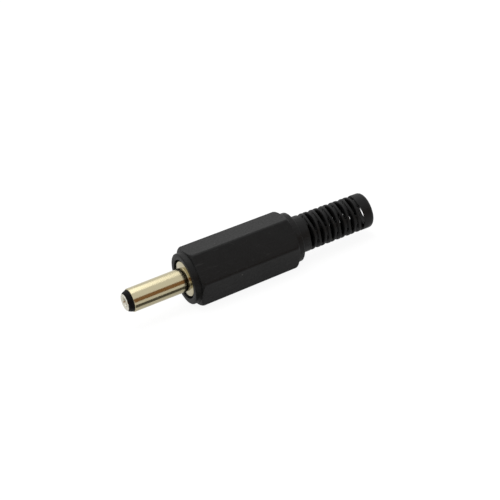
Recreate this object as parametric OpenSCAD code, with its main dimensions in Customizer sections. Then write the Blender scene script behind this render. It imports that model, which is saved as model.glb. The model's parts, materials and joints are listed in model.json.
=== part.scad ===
// DC barrel plug, 3.5 mm by 1.35 mm, that is soldered to a two-wire lead.
// The plug's axis lies along X: the barrel's tip points to -X and the boot to +X.
// The origin is on the axis, in the front face of the flange that the barrel stands on.
// One flat of the hexagonal grip faces down, so the plug lies on it.

/* [Barrel] */
// Outside diameter of the sleeve
sleeve_d = 3.5; // [3.3:0.05:4]
// Wall of the sleeve
sleeve_wall = 0.5; // [0.4:0.05:0.55]
// Rounding of the sleeve's front lip
sleeve_lip = 0.1; // [0.05:0.01:0.15]
// Length of the barrel, from the flange to the tip
barrel_length = 9.5; // [8.5:0.25:12]
// Length of the insulating nose
nose_length = 0.75; // [0.5:0.05:0.9]
// Diameter of the nose at its front face
nose_tip_d = 2.7; // [2.6:0.05:3]

/* [Flange and thread] */
// Diameter of the flange
flange_d = 5.3; // [5.2:0.05:5.6]
// Length of the flange
flange_length = 1.4; // [1:0.1:2]
// Root diameter of the thread behind the flange
thread_root_d = 4.5; // [4.2:0.1:4.8]
// Length of the thread
thread_length = 4.8; // [4:0.2:6]
// Diameter of the neck that is riveted over the outer solder lug
neck_d = 3.1; // [3:0.05:3.3]
// How far the riveted lip spreads past the neck
rivet_spread = 0.2; // [0.1:0.05:0.3]
// Thickness of the riveted lip
rivet_t = 0.15; // [0.1:0.05:0.25]

/* [Centre contact] */
// Diameter of the hole that takes the socket's centre pin
pin_hole_d = 1.35; // [1.2:0.05:1.4]
// Depth of that hole
pin_hole_depth = 8; // [6.5:0.25:9]
// Wall of the centre contact's tube
contact_wall = 0.25; // [0.2:0.01:0.29]
// Diameter of the rim at the mouth
rim_d = 2.5; // [2.4:0.05:2.6]
// Thickness of the rim
rim_t = 0.1; // [0.1:0.05:0.3]
// Width of the two slots that make the tube springy
spring_slot_w = 0.3; // [0.2:0.05:0.4]
// Length of those slots
spring_slot_length = 4; // [3:0.25:5]
// Diameter of the tail that is riveted over the centre solder lug
tail_d = 1.3; // [1.1:0.05:1.5]
// Diameter of the tail's riveted head
tail_head_d = 2; // [1.8:0.1:2.4]
// Height of the tail's riveted head
tail_head_t = 0.2; // [0.15:0.05:0.3]

/* [Solder lugs] */
// Thickness of the sheet that both lugs are stamped from
lug_t = 0.35; // [0.25:0.05:0.4]
// Inside radius of the lugs' bends
bend_r = 0.25; // [0.15:0.05:0.3]
// Diameter of the outer lug's ring
outer_ring_d = 4.3; // [4.1:0.1:4.6]
// Width of the outer lug's arm
outer_arm_w = 1.8; // [1.4:0.1:1.9]
// Height of the outer arm's under face below the axis
outer_arm_drop = 2.05; // [2:0.05:2.2]
// Length of the outer arm, from its ring to the cable clamp
outer_arm_length = 6.4; // [5.8:0.2:7]
// Length of the cable clamp at the outer arm's end
clamp_length = 2.8; // [2:0.2:3.4]
// Angle of the gap at the top of the cable clamp
clamp_gap_angle = 110; // [90:5:150]
// Diameter of the solder hole in the outer arm
outer_hole_d = 1; // [0.8:0.1:1.1]
// Diameter of the centre lug's ring
centre_ring_d = 2.6; // [2.4:0.1:3]
// Width of the centre lug's arm
centre_arm_w = 1.4; // [1.2:0.1:1.8]
// Height of the centre arm's top face above the axis
centre_arm_rise = 1.75; // [1.6:0.05:1.9]
// Length of the centre arm behind its ring
centre_arm_length = 4; // [3:0.25:4.5]
// Diameter of the solder hole in the centre arm
centre_hole_d = 0.8; // [0.6:0.1:1]

/* [Insulating washer] */
// Diameter of the washer between the two lugs
washer_d = 3.2; // [3:0.05:3.3]
// Thickness of the washer
washer_t = 0.6; // [0.4:0.1:0.8]
// Length of the washer's spigot inside the outer contact
spigot_length = 0.7; // [0.4:0.1:1]

/* [Grip] */
// Distance across the flats at the front of the hexagonal grip
grip_flats = 7.94; // [7.8:0.02:8.6]
// Length of the hexagonal grip
grip_length = 15.8; // [14:0.2:20]
// Draft of each flat, so that the grip narrows to the rear
grip_draft = 0.48; // [0:0.02:0.7]
// How deep the flat along each corner of the hexagon is cut
corner_trim = 0.08; // [0.03:0.01:0.2]
// Rounding of the corners at the rear end of the grip
grip_end_r = 0.5; // [0.2:0.05:0.5]
// Diameter of the collar at the front
front_collar_d = 7.6; // [7.3:0.05:7.8]
// Length of the front collar
front_collar_length = 0.93; // [0.6:0.05:1.5]
// How far the front collar stands out in front of the flange
collar_proud = 0.15; // [0.05:0.05:0.4]
// Diameter of the collar at the rear
rear_collar_d = 7.42; // [6.6:0.02:7.5]
// Length of the rear collar
rear_collar_length = 0.97; // [0.6:0.05:1.5]
// Rounding of the collars' edges
collar_edge_r = 0.2; // [0.1:0.02:0.3]
// Diameter of the mouth in the front collar
mouth_d = 5.85; // [5.75:0.05:6.2]
// Depth of the mouth
mouth_depth = 0.7; // [0.4:0.05:0.9]
// Diameter of the threaded bore and of the room for the lugs behind it
inner_bore_d = 5.1; // [5.05:0.01:5.14]
// Room between the cable clamp and the rear of that bore
clamp_room = 0.5; // [0.3:0.1:1]

/* [Boot] */
// Diameter of the boot at the rear collar
boot_d = 5.48; // [5.2:0.02:5.8]
// Diameter of the boot at its end
boot_end_d = 5.25; // [5:0.02:5.48]
// Length of the boot
boot_length = 12.2; // [8:0.05:16]
// Rounding of the boot's end
boot_end_r = 0.45; // [0.2:0.05:0.55]
// Diameter of the hole for the cable
cable_hole_d = 3.7; // [3.4:0.05:3.9]
// Chamfer at the outer end of that hole
cable_flare = 0.25; // [0.1:0.05:0.3]
// Plain length between the rear collar and the first slots
boot_root_length = 1.64; // [1:0.02:3]
// Least plain length behind the last slots
boot_band_length = 1.77; // [1:0.02:3]
// Width of the slots, along the axis
slot_w = 0.48; // [0.36:0.02:0.52]
// Distance from one row of slots to the next
slot_pitch = 0.825; // [0.76:0.005:1.2]
// Number of slots around each row
slots_per_row = 3; // [2:1:4]
// Share of each row's turn that is open
open_share = 0.72; // [0.5:0.02:0.8]
// Chamfer of the slots' outer edges
slot_chamfer = 0.08; // [0.04:0.01:0.1]

/* [Fits] */
// Radial clearance between pieces that are pressed together
assembly_gap = 0.02; // [0.01:0.005:0.03]
// Radial clearance of the flange in the handle
running_gap = 0.05; // [0.03:0.01:0.08]
// Gap between the flange's rear face and its seat in the handle
seat_gap = 0.02; // [0:0.01:0.1]

/* [Hidden] */
$fn = 96;

// Places along the axis, from the tip to the boot's end
tip_x = -barrel_length;
nose_x = tip_x + rim_t;
sleeve_x = nose_x + nose_length;
flange_rear_x = flange_length;
outer_lug_x = flange_rear_x + thread_length;
lip_x = outer_lug_x + lug_t;
washer_x = lip_x + rivet_t;
centre_lug_x = washer_x + washer_t;
tail_head_x = centre_lug_x + lug_t;
clamp_x = outer_lug_x + outer_arm_length;
clamp_rear_x = clamp_x + clamp_length;

handle_x = -collar_proud;
grip_x = handle_x + front_collar_length;
grip_rear_x = grip_x + grip_length;
boot_x = grip_rear_x + rear_collar_length;
boot_rear_x = boot_x + boot_length;

// Sizes that follow from the ones above
sleeve_bore_d = sleeve_d - 2 * sleeve_wall;
contact_d = pin_hole_d + 2 * contact_wall;
grip_rear_flats = grip_flats - 2 * grip_length * tan(grip_draft);
seat_d = flange_d + 2 * running_gap;
seat_x = flange_rear_x + seat_gap;
inner_bore_rear_x = clamp_rear_x + clamp_room;
funnel_length = 0.6 * (inner_bore_d - cable_hole_d);
open_angle = 360 * open_share / slots_per_row;
slot_span = boot_length - boot_root_length - boot_band_length - slot_w;
last_row = floor(slot_span / slot_pitch);

// Small details
edge = 0.1;         // chamfer of the flange and of the nose
mouth_flare = 0.2;  // countersink of the pin hole, on the radius
grip_front_r = 0.5; // rounding of the corners at the front end of the grip
over = 0.5;         // how far a cutter runs past the surface that it cuts

// Turns what was drawn around Z so that it lies around X.
module along_axis() rotate([0, 90, 0]) children();

// A turned or moulded round form. Its half section is drawn as (radius, place along the axis).
module turned() along_axis() rotate_extrude() children();

// Half section of a round bar from x0 to x1.
module bar_section(x0, x1, radius) translate([0, x0]) square([radius, x1 - x0]);

// What a rounding of radius r removes from a half section's corner. side is 1 for the corner
// at the front end of a bar, and -1 for the one at its rear end.
module corner_waste(radius, x, r, side) {
    difference() {
        translate([radius - r, side > 0 ? x - over : x - r])
            square([r + over, r + over]);
        translate([radius - r, x + side * r]) circle(r = r);
    }
}

// ---- Handle: hexagonal grip, two collars and the flexible boot, moulded in one piece ----

// A slab along the grip between two opposite faces, which narrows to the rear. front and rear
// are the distances of its faces from the axis.
module tapered_slab(front, rear) {
    rotate([90, 0, 0])
        linear_extrude(height = 2 * grip_flats, center = true)
            polygon([[grip_x, -front], [grip_rear_x, -rear], [grip_rear_x, rear], [grip_x, front]]);
}

// Hexagonal prism with drafted flats, a narrow flat along each corner, and rounded ends.
module hexagon_grip() {
    corner_r = grip_flats / 2 / cos(30) - corner_trim;
    rear_corner_r = grip_rear_flats / 2 / cos(30) - corner_trim;
    difference() {
        intersection_for(turn = [0, 60, 120]) {
            rotate([turn, 0, 0]) tapered_slab(grip_flats / 2, grip_rear_flats / 2);
            rotate([turn + 30, 0, 0]) tapered_slab(corner_r, rear_corner_r);
        }
        turned() corner_waste(corner_r, grip_x, grip_front_r, 1);
        turned() corner_waste(rear_corner_r, grip_rear_x, grip_end_r, -1);
    }
}

module front_collar() turned() difference() {
    bar_section(handle_x, grip_x + edge, front_collar_d / 2);
    corner_waste(front_collar_d / 2, handle_x, collar_edge_r, 1);
}

module rear_collar() turned() difference() {
    bar_section(grip_rear_x - edge, boot_x, rear_collar_d / 2);
    corner_waste(rear_collar_d / 2, boot_x, collar_edge_r, -1);
}

module boot_body() turned() difference() {
    polygon([
        [0, boot_x - edge],
        [boot_d / 2, boot_x - edge],
        [boot_d / 2, boot_x],
        [boot_end_d / 2, boot_rear_x - boot_end_r],
        [boot_end_d / 2, boot_rear_x],
        [0, boot_rear_x],
    ]);
    corner_waste(boot_end_d / 2, boot_rear_x, boot_end_r, -1);
}

// The room inside the handle: mouth, seat of the flange, threaded bore, funnel and cable hole.
module handle_room() turned() polygon([
    [0, handle_x - over],
    [mouth_d / 2, handle_x - over],
    [mouth_d / 2, handle_x + mouth_depth],
    [seat_d / 2, handle_x + mouth_depth],
    [seat_d / 2, seat_x],
    [inner_bore_d / 2, seat_x],
    [inner_bore_d / 2, inner_bore_rear_x],
    [cable_hole_d / 2, inner_bore_rear_x + funnel_length],
    [cable_hole_d / 2, boot_rear_x - cable_flare],
    [cable_hole_d / 2 + cable_flare + over, boot_rear_x + over],
    [0, boot_rear_x + over],
]);

// One slot of the boot, with chamfered outer edges. outer_r is the boot's radius at its row.
module slot_cutter(outer_r) {
    half = slot_w / 2;
    flare = slot_chamfer + over;
    rotate_extrude(angle = open_angle)
        polygon([
            [cable_hole_d / 2 - over, -half],
            [outer_r - slot_chamfer, -half],
            [outer_r + over, -half - flare],
            [outer_r + over, half + flare],
            [outer_r - slot_chamfer, half],
            [cable_hole_d / 2 - over, half],
        ]);
}

// Rows of slots. Each row's bridges stand behind the middle of the slots in the rows beside it.
module boot_slots() {
    step = 360 / slots_per_row;
    for (row = [0:last_row]) {
        along = boot_root_length + slot_w / 2 + row * slot_pitch;
        outer_r = (boot_d + (boot_end_d - boot_d) * along / boot_length) / 2;
        first = 30 - open_angle / 2 + (row % 2) * step / 2;
        for (k = [0:slots_per_row - 1])
            along_axis()
                translate([0, 0, boot_x + along])
                    rotate([0, 0, first + k * step])
                        slot_cutter(outer_r);
    }
}

module handle() color("#232324") difference() {
    union() {
        front_collar();
        hexagon_grip();
        rear_collar();
        boot_body();
    }
    handle_room();
    boot_slots();
}

// ---- Contacts ----

// Turned brass, nickel plated: sleeve, flange, threaded body and riveted neck.
module outer_contact() color("#cfccc4") turned() difference() {
    polygon([
        [sleeve_bore_d / 2, sleeve_x],
        [sleeve_d / 2, sleeve_x],
        [sleeve_d / 2, 0],
        [flange_d / 2 - edge, 0],
        [flange_d / 2, edge],
        [flange_d / 2, flange_rear_x],
        [thread_root_d / 2, flange_rear_x],
        [thread_root_d / 2, outer_lug_x],
        [neck_d / 2, outer_lug_x],
        [neck_d / 2, lip_x],
        [neck_d / 2 + rivet_spread, lip_x],
        [neck_d / 2, washer_x],
        [sleeve_bore_d / 2, washer_x],
    ]);
    corner_waste(sleeve_d / 2, sleeve_x, sleeve_lip, 1);
}

// Moulded insulator: the black nose and the tube that lines the sleeve.
module insulator() color("#1b1c1e") turned() {
    base_r = sleeve_d / 2 - sleeve_lip;
    hole_r = contact_d / 2 + assembly_gap;
    lining_r = sleeve_bore_d / 2 - assembly_gap;
    lining_rear_x = washer_x - spigot_length - edge;
    polygon([
        [hole_r, nose_x],
        [nose_tip_d / 2 - edge, nose_x],
        [nose_tip_d / 2, nose_x + edge / 2],
        [base_r, sleeve_x],
        [lining_r, sleeve_x],
        [lining_r, lining_rear_x],
        [hole_r, lining_rear_x],
    ]);
}

// Tube that takes the socket's centre pin, with its rim, springy slots and riveted tail.
module centre_contact() color("#d6d3cb") difference() {
    turned() difference() {
        polygon([
            [0, tip_x],
            [rim_d / 2, tip_x],
            [rim_d / 2, nose_x],
            [contact_d / 2, nose_x],
            [contact_d / 2, centre_lug_x],
            [tail_d / 2, centre_lug_x],
            [tail_d / 2, tail_head_x],
            [tail_head_d / 2, tail_head_x],
            [tail_d / 2, tail_head_x + tail_head_t],
            [0, tail_head_x + tail_head_t],
        ]);
        corner_waste(rim_d / 2, tip_x, rim_t / 2, 1);
        bar_section(tip_x - over, tip_x + pin_hole_depth, pin_hole_d / 2);
        polygon([
            [0, tip_x - over],
            [pin_hole_d / 2 + mouth_flare + over, tip_x - over],
            [pin_hole_d / 2, tip_x + mouth_flare],
            [0, tip_x + mouth_flare],
        ]);
    }
    translate([sleeve_x + spring_slot_length / 2, 0, 0])
        cube([spring_slot_length, 2 * contact_d, spring_slot_w], center = true);
}

// Half section of a strip that stands across the axis and is bent to run to the rear. reach is
// the height of its outer face, x0 its front face and length how far it runs behind x0.
module bent_strip_section(x0, reach, length) {
    bend_x = x0 + lug_t + bend_r;
    bend_z = reach - lug_t - bend_r;
    translate([x0, 0]) square([lug_t, bend_z]);
    translate([bend_x, bend_z + bend_r]) square([x0 + length - bend_x, lug_t]);
    intersection() {
        translate([bend_x, bend_z]) difference() {
            circle(r = bend_r + lug_t);
            circle(r = bend_r);
        }
        translate([x0, bend_z]) square([lug_t + bend_r, lug_t + bend_r]);
    }
}

// One stamped lug without its solder hole: a ring on the axis and a bent arm above it.
module lug_blank(x0, ring_d, hole_d, arm_w, reach, length) {
    difference() {
        union() {
            intersection() {
                along_axis() translate([0, 0, x0]) cylinder(d = ring_d, h = lug_t);
                translate([x0 - over, -ring_d, -ring_d])
                    cube([1, 2 * ring_d, ring_d + reach - lug_t - bend_r]);
            }
            rotate([90, 0, 0])
                linear_extrude(height = arm_w, center = true)
                    bent_strip_section(x0, reach, length);
        }
        along_axis() translate([0, 0, x0 - over]) cylinder(d = hole_d, h = lug_t + 2 * over);
    }
}

// Upright hole through an arm.
module solder_hole(x, hole_d) translate([x, 0, 0]) cylinder(d = hole_d, h = flange_d);

// Lug of the outer contact. Its arm ends in the clamp that is folded over the cable's jacket.
module outer_lug() color("#c9c4b6") {
    clamp_angle = 360 - clamp_gap_angle;
    difference() {
        rotate([180, 0, 0])
            lug_blank(outer_lug_x, outer_ring_d, neck_d + 2 * assembly_gap, outer_arm_w,
                outer_arm_drop, outer_arm_length + lug_t);
        rotate([180, 0, 0]) solder_hole(outer_lug_x + outer_arm_length / 2, outer_hole_d);
    }
    along_axis()
        translate([0, 0, clamp_x])
            rotate([0, 0, -clamp_angle / 2])
                rotate_extrude(angle = clamp_angle)
                    translate([outer_arm_drop - lug_t, 0]) square([lug_t, clamp_length]);
}

// Lug of the centre contact, with a rounded end.
module centre_lug() color("#c9c4b6") {
    end_r = centre_arm_w / 2;
    end_x = centre_lug_x + centre_arm_length - end_r;
    difference() {
        union() {
            lug_blank(centre_lug_x, centre_ring_d, tail_d + 2 * assembly_gap, centre_arm_w,
                centre_arm_rise, centre_arm_length - end_r);
            translate([end_x, 0, centre_arm_rise - lug_t]) cylinder(r = end_r, h = lug_t);
        }
        solder_hole(end_x, centre_hole_d);
    }
}

// Shoulder washer that keeps the two lugs apart. Its spigot centres it in the outer contact.
module insulating_washer() color("#b9a98c") turned() {
    hole_r = contact_d / 2 + assembly_gap;
    spigot_r = sleeve_bore_d / 2 - assembly_gap;
    polygon([
        [hole_r, washer_x - spigot_length],
        [spigot_r, washer_x - spigot_length],
        [spigot_r, washer_x],
        [washer_d / 2, washer_x],
        [washer_d / 2, centre_lug_x],
        [hole_r, centre_lug_x],
    ]);
}

handle();
outer_contact();
insulator();
centre_contact();
outer_lug();
insulating_washer();
centre_lug();
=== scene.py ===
# %% [markdown]
# # A dc barrel plug
# This is the small black plug on the end of a low-voltage lead. A nickel-plated
# sleeve carries one pole, a tube in the middle of it carries the other, and a black
# moulding with a hexagonal grip and a slotted, bendy boot screws over the back of them.
#
# The solid model already holds every piece at its real size. Here each piece gets the
# soft edges, the thread and the surface that a solid model leaves out.

# %% Load the solid model
import json
import math

import bmesh
import bpy
from mathutils import Matrix, Vector


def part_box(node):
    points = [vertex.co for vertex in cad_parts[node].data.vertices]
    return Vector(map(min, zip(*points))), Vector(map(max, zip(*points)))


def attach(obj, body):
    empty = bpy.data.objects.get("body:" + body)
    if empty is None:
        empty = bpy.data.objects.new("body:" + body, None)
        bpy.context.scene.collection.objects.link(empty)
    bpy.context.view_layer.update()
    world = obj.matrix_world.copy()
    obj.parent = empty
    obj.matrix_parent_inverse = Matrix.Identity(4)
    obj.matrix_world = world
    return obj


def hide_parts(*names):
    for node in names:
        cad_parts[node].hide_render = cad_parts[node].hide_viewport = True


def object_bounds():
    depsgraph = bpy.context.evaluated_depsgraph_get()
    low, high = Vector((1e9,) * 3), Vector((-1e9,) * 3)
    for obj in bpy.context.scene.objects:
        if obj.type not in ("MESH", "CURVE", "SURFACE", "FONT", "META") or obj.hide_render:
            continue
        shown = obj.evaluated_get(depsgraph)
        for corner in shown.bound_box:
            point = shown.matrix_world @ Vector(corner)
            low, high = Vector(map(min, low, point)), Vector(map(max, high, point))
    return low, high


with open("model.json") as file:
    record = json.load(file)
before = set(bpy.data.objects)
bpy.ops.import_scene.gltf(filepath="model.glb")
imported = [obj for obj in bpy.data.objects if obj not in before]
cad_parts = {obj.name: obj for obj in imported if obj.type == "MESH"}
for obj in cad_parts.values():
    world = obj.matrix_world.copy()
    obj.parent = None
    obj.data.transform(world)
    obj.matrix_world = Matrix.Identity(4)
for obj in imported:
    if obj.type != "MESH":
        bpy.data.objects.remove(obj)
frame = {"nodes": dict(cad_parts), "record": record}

solid_low, solid_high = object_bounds()
MM = 0.001  # the model is in metres, and the sizes below are in millimetres
print("solid model, mm:", [round(v / MM, 2) for v in (*solid_low, *solid_high)])


# %% [markdown]
# ## Two small helpers
# Colours are written as the hex values that a colour picker shows. Those are sRGB, and
# shaders work with linear light, so one function turns them.
# Node trees are built by one function that adds a node, sets it and links it.

# %% Colour and node helpers
def linear(hex_colour):
    """An sRGB hex colour as linear red, green, blue and alpha."""
    parts = [int(hex_colour[i:i + 2], 16) / 255 for i in (1, 3, 5)]
    return [p / 12.92 if p <= 0.04045 else ((p + 0.055) / 1.055) ** 2.4 for p in parts] + [1]


def add(tree, kind, inputs=(), **settings):
    """Adds a node. An input is a value, or the output socket to link from."""
    node = tree.nodes.new(kind)
    for name, value in settings.items():
        setattr(node, name, value)
    for key, value in dict(inputs).items():
        if isinstance(value, bpy.types.NodeSocket):
            tree.links.new(value, node.inputs[key])
        else:
            node.inputs[key].default_value = value
    return node


def start_material(name):
    """An empty material with a Principled shader, and a position socket in millimetres."""
    material = bpy.data.materials.new(name)
    material.use_nodes = True
    tree = material.node_tree
    tree.nodes.clear()
    surface = add(tree, "ShaderNodeBsdfPrincipled")
    add(tree, "ShaderNodeOutputMaterial", {"Surface": surface.outputs["BSDF"]})
    place = add(tree, "ShaderNodeTexCoord").outputs["Object"]
    in_mm = add(tree, "ShaderNodeVectorMath", {0: place, "Scale": 1 / MM}, operation="SCALE")
    return material, tree, surface, in_mm.outputs["Vector"]


# %% [markdown]
# ## Satin moulded PVC: grip and boot
# The handle is moulded from soft PVC, coloured right through with carbon black. The mould
# is spark eroded, which leaves a fine even grain. That grain scatters light, so the
# black looks dark grey where it faces the lamp and nearly black where it doesn't.
# Handling leaves a few pale specks of dust and faint scratches.

# %% Material of the handle
def satin_pvc():
    """The handle's black plastic. The sizes are in millimetres."""
    cloud_size, speck_spacing, speck_r = 2.2, 2.6, 0.055
    grain_size = 0.3     # real spark-eroded grain is near 0.05 mm, too fine to show
    scratch_half = 0.006  # how far from its level line a scratch reaches, in noise units
    material, tree, surface, mm = start_material("satin moulded PVC, black")
    cloud = add(tree, "ShaderNodeTexNoise", {"Vector": mm, "Scale": 1 / cloud_size, "Detail": 3})
    grain = add(tree, "ShaderNodeTexNoise", {"Vector": mm, "Scale": 1 / grain_size, "Detail": 3,
                                             "Roughness": 0.65})
    # Base black, a little greyer in slow clouds
    base = add(tree, "ShaderNodeMix", {0: cloud.outputs["Fac"], 6: linear("#0D0D0D"),
                                       7: linear("#191919")}, data_type="RGBA")
    # Dust specks: the middle of a few scattered cells
    cells = add(tree, "ShaderNodeTexVoronoi", {"Vector": mm, "Scale": 1 / speck_spacing})
    lone = add(tree, "ShaderNodeSeparateColor", {0: cells.outputs["Color"]})
    rare = add(tree, "ShaderNodeMath", {0: lone.outputs[0], 1: 0.72}, operation="GREATER_THAN")
    dot = add(tree, "ShaderNodeMapRange", {"Value": cells.outputs["Distance"],
                                           "From Min": speck_r, "From Max": 0.03})
    speck = add(tree, "ShaderNodeMath", {0: rare.outputs[0], 1: dot.outputs[0]},
                operation="MULTIPLY")
    dusty = add(tree, "ShaderNodeMix", {0: speck.outputs[0], 6: base.outputs[2],
                                        7: linear("#4A4946")}, data_type="RGBA")
    # Scratches: thin level lines of a noise that is drawn out in one direction
    turned = add(tree, "ShaderNodeMapping", {"Vector": mm, "Rotation": (0.3, 0.9, 0.5),
                                             "Scale": (0.12, 0.9, 0.9)})
    long_noise = add(tree, "ShaderNodeTexNoise", {"Vector": turned.outputs[0], "Scale": 1.3,
                                                  "Detail": 1})
    off_line = add(tree, "ShaderNodeMath", {0: long_noise.outputs["Fac"], 1: 0.5},
                   operation="SUBTRACT")
    distance = add(tree, "ShaderNodeMath", {0: off_line.outputs[0]}, operation="ABSOLUTE")
    scratch = add(tree, "ShaderNodeMapRange", {"Value": distance.outputs[0],
                                               "From Min": scratch_half, "From Max": 0.0,
                                               "To Max": 0.35})
    scratched = add(tree, "ShaderNodeMix", {0: scratch.outputs[0], 6: dusty.outputs[2],
                                            7: linear("#3A3A39")}, data_type="RGBA")
    tree.links.new(scratched.outputs[2], surface.inputs["Base Color"])
    rough = add(tree, "ShaderNodeMapRange", {"Value": grain.outputs["Fac"], "From Min": 0.3,
                                             "From Max": 0.7, "To Min": 0.42, "To Max": 0.56})
    tree.links.new(rough.outputs[0], surface.inputs["Roughness"])
    bump = add(tree, "ShaderNodeBump", {"Height": grain.outputs["Fac"], "Strength": 0.6,
                                        "Distance": 0.04 * MM})
    tree.links.new(bump.outputs[0], surface.inputs["Normal"])
    surface.inputs["IOR"].default_value = 1.5
    surface.inputs["Specular IOR Level"].default_value = 0.17
    return material


pvc = satin_pvc()
print("made", pvc.name)


# %% [markdown]
# ## Bright nickel plating: sleeve, flange and thread
# The outer contact is turned from brass rod and nickel plated. Nickel is a warm, slightly
# yellow mirror. The turning tool leaves rings far finer than a hair, and they smear
# reflections along the axis only, so the light stays in clean bands along the sleeve.

# %% Material of the plated contacts
def nickel_plate(name, colour, roughness, ring):
    """Turned and plated metal. ring is the spacing of the tool marks in millimetres. A
    real tool leaves them 0.03 mm apart, which is too fine to show, so ring is more."""
    stain_size = 1.5
    material, tree, surface, mm = start_material(name)
    # Tool marks depend on the place along the axis alone
    drawn = add(tree, "ShaderNodeMapping", {"Vector": mm, "Scale": (1 / ring, 0.15, 0.15)})
    marks = add(tree, "ShaderNodeTexNoise", {"Vector": drawn.outputs[0], "Scale": 1, "Detail": 2})
    cloud = add(tree, "ShaderNodeTexNoise", {"Vector": mm, "Scale": 1 / stain_size, "Detail": 4})
    dull = add(tree, "ShaderNodeMapRange", {"Value": cloud.outputs["Fac"], "To Min": -0.04,
                                            "To Max": 0.06})
    rough = add(tree, "ShaderNodeMath", {0: dull.outputs[0], 1: roughness}, operation="ADD")
    tree.links.new(rough.outputs[0], surface.inputs["Roughness"])
    darker = [c * 0.9 for c in linear(colour)[:3]] + [1]
    tint = add(tree, "ShaderNodeMix", {0: cloud.outputs["Fac"], 6: darker, 7: linear(colour)},
               data_type="RGBA")
    tree.links.new(tint.outputs[2], surface.inputs["Base Color"])
    bump = add(tree, "ShaderNodeBump", {"Height": marks.outputs["Fac"], "Strength": 0.15,
                                        "Distance": 0.01 * MM})
    tree.links.new(bump.outputs[0], surface.inputs["Normal"])
    surface.inputs["Metallic"].default_value = 1
    return material


sleeve_plate = nickel_plate("nickel-plated turned brass", "#C0B798", 0.16, 0.08)
tube_plate = nickel_plate("nickel-plated contact tube", "#D2CFC2", 0.2, 0.05)
print("made", sleeve_plate.name, "and", tube_plate.name)

# %% [markdown]
# ## Plain moulded nylon: the nose
# The insulator between the two contacts is moulded nylon. It is darker than the handle
# and throws back very little light, so it reads as a plain black band behind the tip.

# %% Material of the insulator
def black_nylon():
    """The nose's plastic, with clouds 0.6 mm across."""
    cloud_size = 0.6
    material, tree, surface, mm = start_material("moulded nylon, black")
    cloud = add(tree, "ShaderNodeTexNoise", {"Vector": mm, "Scale": 1 / cloud_size, "Detail": 3})
    base = add(tree, "ShaderNodeMix", {0: cloud.outputs["Fac"], 6: linear("#0A0A0B"),
                                       7: linear("#121213")}, data_type="RGBA")
    tree.links.new(base.outputs[2], surface.inputs["Base Color"])
    rough = add(tree, "ShaderNodeMapRange", {"Value": cloud.outputs["Fac"], "To Min": 0.4,
                                             "To Max": 0.52})
    tree.links.new(rough.outputs[0], surface.inputs["Roughness"])
    surface.inputs["IOR"].default_value = 1.53
    surface.inputs["Specular IOR Level"].default_value = 0.07
    return material


nylon = black_nylon()
print("made", nylon.name)


# %% [markdown]
# ## Tinned brass sheet: the two solder lugs
# The lugs are stamped from brass sheet that is already tinned. Tin is softer and greyer
# than nickel, with a faint cloudy bloom, and the solder side picks up small marks.

# %% Material of the lugs
def tinned_brass():
    """The lugs' metal. The bloom's patches are 0.9 mm across, and rolling lines 0.11 mm."""
    bloom_size, line_spacing = 0.9, 1 / 9
    material, tree, surface, mm = start_material("tinned brass sheet")
    bloom = add(tree, "ShaderNodeTexNoise", {"Vector": mm, "Scale": 1 / bloom_size, "Detail": 5})
    rolled = add(tree, "ShaderNodeMapping", {"Vector": mm, "Scale": (0.5, 1 / line_spacing,
                                                                       1 / line_spacing)})
    lines = add(tree, "ShaderNodeTexNoise", {"Vector": rolled.outputs[0], "Scale": 1})
    tint = add(tree, "ShaderNodeMix", {0: bloom.outputs["Fac"], 6: linear("#A9A496"),
                                       7: linear("#D2CEC2")}, data_type="RGBA")
    tree.links.new(tint.outputs[2], surface.inputs["Base Color"])
    rough = add(tree, "ShaderNodeMapRange", {"Value": bloom.outputs["Fac"], "To Min": 0.22,
                                             "To Max": 0.42})
    tree.links.new(rough.outputs[0], surface.inputs["Roughness"])
    bump = add(tree, "ShaderNodeBump", {"Height": lines.outputs["Fac"], "Strength": 0.2,
                                        "Distance": 0.01 * MM})
    tree.links.new(bump.outputs[0], surface.inputs["Normal"])
    surface.inputs["Metallic"].default_value = 1
    return material


sheet = tinned_brass()
print("made", sheet.name)

# %% [markdown]
# ## Paper laminate: the insulating washer
# The washer is punched from brown phenolic paper laminate. Its faces are smooth, and the
# cut edge shows the layers of paper as thin lines.

# %% Material of the washer
def paper_laminate():
    """The washer's board, in layers of about 0.1 mm of paper."""
    layer_t, fibre_size = 0.0982, 0.2
    wave_period = math.tau / 20   # a Wave texture's own period at a scale of 1
    material, tree, surface, mm = start_material("phenolic paper laminate")
    layers = add(tree, "ShaderNodeTexWave", {"Vector": mm, "Scale": wave_period / layer_t,
                                             "Distortion": 0.6,
                                             "Detail": 1}, bands_direction="X")
    fibre = add(tree, "ShaderNodeTexNoise", {"Vector": mm, "Scale": 1 / fibre_size, "Detail": 4})
    mixed = add(tree, "ShaderNodeMath", {0: layers.outputs["Fac"], 1: fibre.outputs["Fac"]},
                operation="MULTIPLY")
    tint = add(tree, "ShaderNodeMix", {0: mixed.outputs[0], 6: linear("#7A5A38"),
                                       7: linear("#B58F5E")}, data_type="RGBA")
    tree.links.new(tint.outputs[2], surface.inputs["Base Color"])
    rough = add(tree, "ShaderNodeMapRange", {"Value": fibre.outputs["Fac"], "To Min": 0.4,
                                             "To Max": 0.6})
    tree.links.new(rough.outputs[0], surface.inputs["Roughness"])
    return material


laminate = paper_laminate()
print("made", laminate.name)

# %% [markdown]
# ## One way to make every round piece
# Nearly all of this plug is turned or moulded round one axis. So a piece is a stack of
# rings along X: the outside from front to rear, then the bore from rear to front, which
# closes the skin. A ring may be any shape, such as the hexagon, because its radius may
# depend on the angle. A ring can also ask for a soft edge, which a Bevel modifier rounds.
# Openings through the wall drop their faces inside and outside, and get side walls.

# %% Rings to mesh
def at(value, angle):
    """A ring's radius or place may be one number, or depend on the angle."""
    return value(angle) if callable(value) else value


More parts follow.
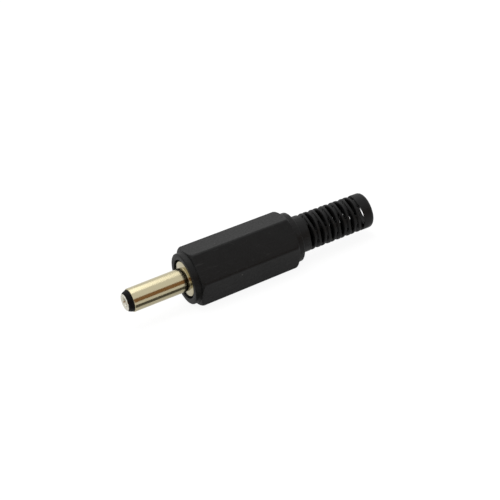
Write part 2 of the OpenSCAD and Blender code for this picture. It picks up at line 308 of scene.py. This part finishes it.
def skin(name, rings, angles, openings=(), sag=None):
    """A closed skin from rings of (place along X, radius, edge rounding), in millimetres.
    An opening is (outer rings, matching inner rings, first column, number of columns),
    where the rings are given as (first, last)."""
    columns = len(angles)
    points = []
    for x, radius, _ in rings:
        for a in angles:
            r = at(radius, a)
            p = Vector((at(x, a), r * math.sin(a), -r * math.cos(a)))
            points.append((sag(p) if sag else p) * MM)
    gone, walls = set(), []
    for (o1, o2), (i1, i2), first, count in openings:
        for j in range(first, first + count):
            c, d = j % columns, (j + 1) % columns
            gone.update((k, c) for k in range(o1, o2))
            gone.update((k, c) for k in range(i2, i1))
            for o, i in ((o1, i1), (o2, i2)):
                walls.append([o * columns + c, o * columns + d,
                              i * columns + d, i * columns + c])
        for j in (first % columns, (first + count) % columns):
            walls.append([k * columns + j for k in range(o1, o2 + 1)]
                         + [k * columns + j for k in range(i2, i1 + 1)])
    faces = []
    for i in range(len(rings)):
        k = (i + 1) % len(rings)
        for j in range(columns):
            if (i, j) not in gone:
                n = (j + 1) % columns
                faces.append([i * columns + j, i * columns + n,
                              k * columns + n, k * columns + j])
    mesh = bpy.data.meshes.new(name)
    mesh.from_pydata(points, [], faces + walls)
    work = bmesh.new()
    work.from_mesh(mesh)
    widest = max((soft for _, _, soft in rings), default=0) or 1
    weight = work.edges.layers.float.new("bevel_weight_edge")
    for edge in work.edges:
        a, b = (v.index // columns for v in edge.verts)
        if a == b:
            edge[weight] = rings[a][2] / widest
    bmesh.ops.recalc_face_normals(work, faces=work.faces)
    loose = [v for v in work.verts if not v.link_faces]
    bmesh.ops.delete(work, geom=loose, context="VERTS")
    for face in work.faces:
        face.smooth = True
    work.to_mesh(mesh)
    work.free()
    piece = bpy.data.objects.new(name, mesh)
    bpy.context.scene.collection.objects.link(piece)
    if any(soft for _, _, soft in rings):
        bevel = piece.modifiers.new("soft edges", "BEVEL")
        bevel.limit_method = "WEIGHT"
        bevel.width = widest * MM
        bevel.segments = 3
        bevel.use_clamp_overlap = False
    even = piece.modifiers.new("flat faces stay flat", "WEIGHTED_NORMAL")
    even.keep_sharp = True
    print(name, len(mesh.polygons), "faces")
    return piece


# %% [markdown]
# ## The handle: grip, collars and boot in one moulding
# A hexagon grips well between finger and thumb. It is narrower at the rear, so that it
# comes out of the mould. Its corners are rounded, and both ends of each corner are
# turned off in a curve. Behind it the boot is a tube with rows of slots. Each row has
# three slots, and the next row is turned by half a step, so the bridges between the
# slots never line up and the boot bends like a spring. It was made as one skin,
# because it is one moulding, and the slots are openings in that skin.

# %% Sizes of the handle
flats = 7.94               # across the flats, at the front
draft = math.radians(0.48)
corner_r = 0.4             # rounding along the hexagon's corners
collar_front_r, collar_rear_r = 7.6 / 2, 7.42 / 2
mouth_r, seat_r, bore_r, cable_r = 5.85 / 2, 2.7, 2.55, 1.85
boot_r, boot_end_r = 5.48 / 2, 5.25 / 2
front, rear = (v.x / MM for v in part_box("handle"))
grip_front, grip_rear, boot_front = front + 0.93, front + 16.73, front + 17.7
slot_width, slot_pitch, slot_open = 0.48, 0.825, math.radians(86.4)
slot_swell = 0.19          # how much wider a slot is in its middle
first_slot = boot_front + 1.88
slot_rows = 11

# Each sixth of a turn has fine columns at the hexagon's corner and at the slots' ends
slot_end = 60 - (math.degrees(slot_open) / 2 - 30)
stops = ((0, 60 - slot_end, 4), (60 - slot_end, 27, 5), (27, 33, 6), (33, slot_end, 5),
         (slot_end, 60, 4))
sixth = [a + (b - a) * k / n for a, b, n in stops for k in range(n)]
handle_angles = [math.radians(60 * s + a) for s in range(6) for a in sixth]
hair = 1e-9                # keeps an angle of 60 degrees from counting as just below it
print("handle, mm:", round(front, 2), "to", round(rear, 2), "and columns:", len(handle_angles))


def hexagon(x, limit):
    """The hexagon's radius by angle, at x, with rounded corners, cut to a round limit."""
    flat = flats / 2 - (x - grip_front) * math.tan(draft)
    centre = (flat - corner_r) / math.cos(math.radians(30))
    tangent = (flat - corner_r) * math.tan(math.radians(30))  # where the rounding starts

    def radius(a):
        off = (a + hair) % math.radians(60) - math.radians(30)
        straight = flat / math.cos(math.radians(30) - abs(off))
        if straight * math.sin(math.radians(30) - abs(off)) > tangent:
            rise = math.sqrt(corner_r ** 2 - (centre * math.sin(off)) ** 2)
            return min(centre * math.cos(off) + rise, limit)
        return min(straight, limit)

    return radius


# %% Rings of the grip
crisp, soft = 0.05, 0.2              # edge rounding: a step, and a collar's outer edge
end_r, end_inset = 0.5, 0.07         # how each corner's ends are turned off
tip_front = flats / 2 / math.cos(math.radians(30)) - end_inset
tip_rear = tip_front - (grip_rear - grip_front) * math.tan(draft) / math.cos(math.radians(30))
quarter = [math.radians(15 * k) for k in range(7)]

rings = [(front, mouth_r, 0.07), (front, collar_front_r, soft),
         (grip_front, collar_front_r, crisp)]
for q in quarter:
    x = grip_front + end_r * (1 - math.cos(q))
    rings.append((x, hexagon(x, tip_front - end_r * (1 - math.sin(q))), 0))
for q in reversed(quarter):
    x = grip_rear - end_r * (1 - math.cos(q))
    rings.append((x, hexagon(x, tip_rear - end_r * (1 - math.sin(q))), 0))
rings += [(grip_rear, collar_rear_r, crisp), (boot_front, collar_rear_r, soft),
          (boot_front, boot_r, 0.08)]
print("rings of the grip:", len(rings), "and across its corners, mm:", round(2 * tip_front, 2))

# %% [markdown]
# Light that comes through the boot shows how its wall is made. The mould's fingers that
# leave the slots taper, so each slot is widest in its middle and narrows towards the
# bore, and the bridges between the slots stay a little below the ribs. Four rings
# outside and two inside make one row of slots.

# %% Rings of the boot
groove, groove_slope = 0.26, 0.05    # the bridges lie this far below the ribs
inner_share = 0.3                    # a slot narrows to this share of its width at the bore
last_lean = 0.3                      # the last row's rear wall leans to the boot's end
rib_soft = 0.09
boot_end_round, cable_flare = 0.65, 0.25


def boot_radius(x):
    """The boot is a slight cone."""
    return boot_r + (boot_end_r - boot_r) * (x - boot_front) / (rear - boot_front)


def slot_side(row, side, inset=0, share=1):
    """One side of a row's slots, by angle: a slot is wide in its middle and narrow at
    its ends, so the ribs between the rows run in waves."""
    middle = first_slot + slot_pitch * row
    peak = math.radians(30 + 60 * (row % 2))

    def place(a):
        half = (slot_width + slot_swell * math.cos(3 * (a - peak))) / 2
        return middle + side * (half * share - inset)

    return place


outer_rings = []
for row in range(slot_rows):
    r = boot_radius(first_slot + slot_pitch * row)
    outer_rings.append((len(rings), len(rings) + 3))
    rings += [(slot_side(row, -1), r, rib_soft),
              (slot_side(row, -1, groove_slope), r - groove, 0),
              (slot_side(row, 1, groove_slope), r - groove, 0),
              (slot_side(row, 1), r, rib_soft)]
for q in quarter:
    rings.append((rear - boot_end_round * (1 - math.sin(q)),
                  boot_end_r - boot_end_round * (1 - math.cos(q)), 0))
rings += [(rear, cable_r + cable_flare, 0.03), (rear - cable_flare, cable_r, 0)]
print("slot rows:", slot_rows, "over mm:", round(slot_pitch * (slot_rows - 1), 2))

# %% Rings of the bore, from the rear
seat_x, bore_end, funnel_length, mouth_depth = 1.42, 15.9, 0.84, 0.7
inner_rings = {}
for row in reversed(range(slot_rows)):
    inner_rings[row] = (len(rings) + 1, len(rings))
    rear_side = slot_side(row, 1, 0, inner_share)
    if row == slot_rows - 1:
        rear_side = slot_side(row, 1, -last_lean)
    rings += [(rear_side, cable_r, 0), (slot_side(row, -1, 0, inner_share), cable_r, 0)]
rings += [(bore_end + funnel_length, cable_r, 0), (bore_end, bore_r, crisp),
          (seat_x, bore_r, crisp), (seat_x, seat_r, 0.03),
          (front + mouth_depth, seat_r, crisp), (front + mouth_depth, mouth_r, crisp)]
print("rings of the whole handle:", len(rings))

# %% Openings of the slots, as columns
per_sixth = len(sixth)
start_column = sum(n for _, _, n in stops[:4])
slot_columns = stops[4][2] + per_sixth + stops[0][2]
slots = []
for row in range(slot_rows):
    for k in range(3):
        first = start_column - per_sixth + (2 * k + row % 2) * per_sixth
        slots.append((outer_rings[row], inner_rings[row], first, slot_columns))
print("slots:", len(slots))

# %% [markdown]
# The boot is soft, and it droops a little behind the grip. Each point of the skin behind
# the collar is lowered along a small slope, which eases in over the first 2 mm.

# %% Build the handle
droop, ease_in = math.tan(math.radians(0.85)), 2


def drooped(p):
    """A point of the handle, lowered if it lies behind the collar."""
    beyond = max(0, p.x - boot_front)
    return Vector((p.x, p.y, p.z - droop * beyond * min(1, beyond / ease_in)))


handle = skin("handle_moulding", rings, handle_angles, slots, drooped)
handle.data.materials.append(pvc)
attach(handle, "handle")
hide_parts("handle")

# %% [markdown]
# ## The outer contact, with its thread
# Sleeve, flange and thread are one turned part. The handle screws onto the thread, which
# is a 0.5 mm pitch, 5 mm across. A thread is a ring whose radius rises and falls as the
# angle and the place along the axis change together, and it fades out at both ends.

# %% Build the outer contact
round_angles = [math.tau * k / 144 for k in range(144)]
sleeve_front, sleeve_r, sleeve_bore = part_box("outer_contact")[0].x / MM, 1.75, 1.25
flange_r, flange_rear = 2.65, 1.4
root_r, crest_r, pitch = 2.25, 2.5, 0.5
thread_rear, contact_rear = 6.2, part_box("outer_contact")[1].x / MM
thread_fade, crest_half, flank_slope = 0.4, 0.125, 4.4   # flank and crest in pitches
neck_r, rivet_x, rivet_r = 1.55, 6.55, 1.75


def thread(x):
    """The thread's radius by angle at x."""
    fade = min(1, (x - flange_rear) / thread_fade, (thread_rear - x) / thread_fade)

    def radius(a):
        phase = (x / pitch - a / math.tau) % 1
        rise = min(1, max(0, 1 - (abs(phase - 0.5) - crest_half) * flank_slope))
        return root_r + (crest_r - root_r) * rise * max(0, fade)

    return radius


contact_rings = [(sleeve_front, sleeve_bore, 0.03), (sleeve_front, sleeve_r, 0.1),
                 (0, sleeve_r, 0.06), (0, flange_r, 0.12), (flange_rear, flange_r, 0.06),
                 (flange_rear, root_r, 0)]
thread_steps = 154
for k in range(1, thread_steps):
    x = flange_rear + (thread_rear - flange_rear) * k / thread_steps
    contact_rings.append((x, thread(x), 0))
contact_rings += [(thread_rear, root_r, 0.05), (thread_rear, neck_r, 0),
                  (rivet_x, neck_r, 0), (rivet_x, rivet_r, 0), (contact_rear, neck_r, 0),
                  (contact_rear, sleeve_bore, 0)]
outer_contact = skin("turned_outer_contact", contact_rings, round_angles)
outer_contact.data.materials.append(sleeve_plate)
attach(outer_contact, "contacts")
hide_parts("outer_contact")

# %% [markdown]
# ## The nose and its lining
# The insulator fills the sleeve and shows in front of it as a short black nose, which
# guides the plug into its socket. Its outside curves in to the tip.

# %% Build the insulator
nose_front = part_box("insulator")[0].x / MM
nose_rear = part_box("insulator")[1].x / MM
nose_base, nose_tip, pin_tube_r, lining_r = 1.65, 1.28, 0.945, 1.23
nose_power, nose_steps = 0.62, 8   # a power below 1 rounds the nose outward
nose_rings = [(nose_front, pin_tube_r, 0), (nose_front, nose_tip - 0.04, 0.03)]
for k in range(1, nose_steps + 1):
    q = k / nose_steps
    x = nose_front + (sleeve_front - nose_front) * q
    nose_rings.append((x, nose_tip + (nose_base - nose_tip) * q ** nose_power, 0))
nose_rings += [(sleeve_front, lining_r, 0), (nose_rear, lining_r, 0),
               (nose_rear, pin_tube_r, 0)]
nose = skin("moulded_nose", nose_rings, round_angles)
nose.data.materials.append(nylon)
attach(nose, "contacts")
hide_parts("insulator")

# %% [markdown]
# ## The centre contact
# The tube that takes the socket's pin ends in a rolled rim at the tip. Its hole is
# countersunk, and a slot on each side lets the tube spring.

# %% Build the centre contact
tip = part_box("centre_contact")[0].x / MM
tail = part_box("centre_contact")[1].x / MM
hole_r, tube_r, rim_r, rim_t, rim_curve = 0.675, 0.925, 1.25, 0.1, 0.05
countersink, spring_length, hole_end = 0.2, 4, -1.5
shoulder_x, rivet_x, tail_r, rivet_r, nearly_shut = 7.3, 7.65, 0.65, 1.0, 0.02
tube_rings = [(tip + countersink, hole_r, 0), (tip + 0.06, hole_r + 0.12, 0),
              (tip, hole_r + countersink, 0.03)]
for k in range(5):
    q = math.radians(22.5 * k)
    tube_rings.append((tip + rim_curve * (1 - math.cos(q)),
                       rim_r - rim_curve + rim_curve * math.sin(q), 0))
tube_rings += [(tip + rim_t, rim_r, 0), (tip + rim_t, tube_r, 0)]
slot_outer = len(tube_rings)
tube_rings += [(sleeve_front, tube_r, 0), (sleeve_front + spring_length, tube_r, 0),
               (shoulder_x, tube_r, 0), (shoulder_x, tail_r, 0), (rivet_x, tail_r, 0),
               (rivet_x, rivet_r, 0), (tail, tail_r, 0), (tail, nearly_shut, 0),
               (hole_end, nearly_shut, 0), (hole_end, hole_r, 0)]
slot_inner = len(tube_rings)
tube_rings += [(sleeve_front + spring_length, hole_r, 0), (sleeve_front, hole_r, 0)]
slot_columns_at, slot_wide = (32, 104), 8   # two slots, 20 degrees wide each
spring_slots = [((slot_outer, slot_outer + 1), (slot_inner + 1, slot_inner), first, slot_wide)
                for first in slot_columns_at]
centre = skin("contact_tube", tube_rings, round_angles, spring_slots)
centre.data.materials.append(tube_plate)
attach(centre, "contacts")
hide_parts("centre_contact")

# %% [markdown]
# ## Lugs and washer
# The stamped lugs and the punched washer keep their solid shapes. Stamping leaves a
# slightly rounded edge, which a small Bevel gives. The imported mesh has each face on its
# own, so a Weld joins the faces first.

# %% Dress the lugs and the washer
weld_reach, stamped_edge = 0.001, 0.03
for node, material in (("outer_lug", sheet), ("centre_lug", sheet),
                       ("insulating_washer", laminate)):
    solid = frame["nodes"][node]
    solid.data.materials.clear()
    solid.data.materials.append(material)
    weld = solid.modifiers.new("join the faces", "WELD")
    weld.merge_threshold = weld_reach * MM
    soft = solid.modifiers.new("stamped edge", "BEVEL")
    soft.width = stamped_edge * MM
    soft.segments = 2
    soft.angle_limit = math.radians(40)
    print(node, "gets", material.name)

# %% [markdown]
# ## Floor, light and camera
# A plug this small is shot on white card under a large soft lamp. The card runs under the
# flat of the grip that the plug lies on. The lamp hangs above and a little behind, so the
# top of the grip is lighter than its side, and the sleeve gets one soft bright band.

# %% Floor
def white_share(tree, mirrored):
    """How much of the plain white a ray sees: all of it straight from the camera or
    through something clear, and the mirrored share of it in a reflection."""
    rays = add(tree, "ShaderNodeLightPath")
    seen = add(tree, "ShaderNodeMath", {0: rays.outputs["Is Glossy Ray"], 1: mirrored,
                                        2: rays.outputs["Is Camera Ray"]},
               operation="MULTIPLY_ADD")
    clear = add(tree, "ShaderNodeMath", {0: seen.outputs[0],
                                         1: rays.outputs["Is Transmission Ray"]},
                operation="MAXIMUM")
    return clear.outputs[0]


flat = next(m for m in frame["record"]["mounts"] if m["name"] == "rest_flat")
up = -Vector(flat["axis"])
half_card, card_gap = 2, 0.01 * MM   # metres
floor_mesh = bpy.data.meshes.new("white card")
floor_mesh.from_pydata([(x * half_card, y * half_card, 0)
                        for x, y in ((-1, -1), (1, -1), (1, 1), (-1, 1))], [], [(0, 1, 2, 3)])
floor = bpy.data.objects.new("white card", floor_mesh)
floor.matrix_world = Matrix.Translation(Vector(flat["pos_m"]) - up * card_gap) @ \
    up.to_track_quat("Z", "Y").to_matrix().to_4x4()
bpy.context.scene.collection.objects.link(floor)
card = bpy.data.materials.new("white card")
card.use_nodes = True
tree = card.node_tree
tree.nodes.clear()
white_part, mirrored_part = 0.8, 0.6   # the rest is paper, which takes the shadow
share = add(tree, "ShaderNodeMath", {0: white_share(tree, mirrored_part), 1: white_part},
            operation="MULTIPLY")
paper = add(tree, "ShaderNodeBsdfDiffuse", {"Color": linear("#F2F2F2")})
white = add(tree, "ShaderNodeEmission", {"Strength": 1.13})
both = add(tree, "ShaderNodeMixShader", {0: share.outputs[0], 1: paper.outputs[0],
                                         2: white.outputs[0]})
add(tree, "ShaderNodeOutputMaterial", {"Surface": both.outputs[0]})
floor_mesh.materials.append(card)
print("the card's slope under the grip, degrees:", round(math.degrees(up.angle((0, 0, 1))), 2))

# %% [markdown]
# The room is plain white to the camera, but it lights the plug less than it shows, so
# that the black stays black.

# %% World
light_level, seen_level = 0.6, 1
world = bpy.data.worlds.new("white room")
bpy.context.scene.world = world
world.use_nodes = True
tree = world.node_tree
tree.nodes.clear()
level = add(tree, "ShaderNodeMapRange", {"Value": white_share(tree, 1), "To Min": light_level,
                                         "To Max": seen_level})
air = add(tree, "ShaderNodeBackground", {"Color": (1, 1, 1, 1), "Strength": level.outputs[0]})
add(tree, "ShaderNodeOutputWorld", {"Surface": air.outputs[0]})
print("room: light", light_level, "and seen", seen_level)

# %% [markdown]
# The soft box is half a metre away, about as far as its long side, so its shadow has a
# wide soft edge. It hangs steeply above the plug and a little behind it.

# %% Lamp
middle = (solid_low + solid_high) / 2
lamp_data = bpy.data.lights.new("soft box", "AREA")
lamp_data.shape = "RECTANGLE"
lamp_data.size, lamp_data.size_y = 0.5, 0.3
lamp_brightness, lamp_distance, lamp_height = 1.6, 0.5, math.radians(76)
lamp_data.energy = lamp_brightness * math.pi * lamp_data.size * lamp_data.size_y
lamp = bpy.data.objects.new("soft box", lamp_data)
toward_lamp = Vector((0, math.cos(lamp_height), math.sin(lamp_height)))
lamp.location = middle + toward_lamp * lamp_distance
lamp.rotation_euler = toward_lamp.to_track_quat("Z", "X").to_euler()
bpy.context.scene.collection.objects.link(lamp)
print("soft box, watts:", round(lamp_data.energy, 3))

# %% [markdown]
# Polished metal shows its surroundings. A glowing brown plane in front paints the sleeve's
# brown band, a painted reflection of a warm room, and a dark glowing strip on the white card
# paints the thin dark band under it, a painted reflection of the sleeve's own shadow on the
# card. Both are glowing planes that only reflections see.

# %% Cards that only reflections see
def card_for_reflections(name, corners, colour):
    """A glowing plane of one colour that only reflections see, a painted reflection.
    Its corners are in millimetres.
    """
    mesh = bpy.data.meshes.new(name)
    mesh.from_pydata([Vector(c) * MM for c in corners], [], [(0, 1, 2, 3)])
    material = bpy.data.materials.new(name)
    material.use_nodes = True
    tree = material.node_tree
    tree.nodes.clear()
    glow = add(tree, "ShaderNodeEmission", {"Color": linear(colour), "Strength": 1})
    add(tree, "ShaderNodeOutputMaterial", {"Surface": glow.outputs[0]})
    mesh.materials.append(material)
    thing = bpy.data.objects.new(name, mesh)
    thing.visible_camera = False
    thing.visible_diffuse = False
    thing.visible_shadow = False
    thing.visible_transmission = False
    bpy.context.scene.collection.objects.link(thing)


ground = solid_low.z / MM
# The brown plane is a painted reflection: it glows, and gives the sleeve the brown band of a warm
# room.
brown_y, brown_top = -18, 7.3
# The dark strip is painted shadow: it lies where the sleeve's shadow falls on the card and glows
# dark, so the sleeve reflects that shadow.
strip_z, strip_near, strip_far, strip_front = ground + 0.03, -2.7, -6.2, -12
card_for_reflections("painted brown room reflection",
                     [(-60, brown_y, ground), (70, brown_y, ground),
                      (70, brown_y, brown_top), (-60, brown_y, brown_top)], "#97704C")
card_for_reflections("painted sleeve shadow for reflections",
                     [(strip_front, strip_far, strip_z), (2.4, strip_far, strip_z),
                      (0.9, strip_near, strip_z), (strip_front, strip_near, strip_z)], "#5C5A55")
print("cards for reflections: 2")

# %% [markdown]
# The camera looks down at the plug's front left, from far enough to keep the hexagon's
# edges nearly parallel, and is rolled so that the plug climbs to the right.

# %% Camera
azimuth, elevation, roll = (math.radians(v) for v in (-22.1, 23.2, -12.33))
back = Vector((math.sin(azimuth) * math.cos(elevation),
               -math.cos(azimuth) * math.cos(elevation), math.sin(elevation)))
right = Vector((math.cos(azimuth), math.sin(azimuth), 0))
up_screen = back.cross(right)
across = right * math.cos(roll) + up_screen * math.sin(roll)
upward = up_screen * math.cos(roll) - right * math.sin(roll)
aim = Vector((10, 0, 0)) * MM
distance, view_width = 350 * MM, 71.124 * MM   # the view is this wide at the plug
shift_across, shift_up = 0.4865 * MM, 0.6643 * MM
camera_data = bpy.data.cameras.new("camera")
camera_data.sensor_width = 36
camera_data.lens = camera_data.sensor_width * distance / view_width
camera = bpy.data.objects.new("camera", camera_data)
spot = aim + back * distance + across * shift_across + upward * shift_up
turn = Matrix((across, upward, back)).transposed()
camera.matrix_world = Matrix.Translation(spot) @ turn.to_4x4()
camera_data.clip_start, camera_data.clip_end = 0.01, 10
bpy.context.scene.collection.objects.link(camera)
bpy.context.scene.camera = camera
bpy.context.scene.view_settings.view_transform = "Standard"
print("lens, mm:", round(camera_data.lens, 1))
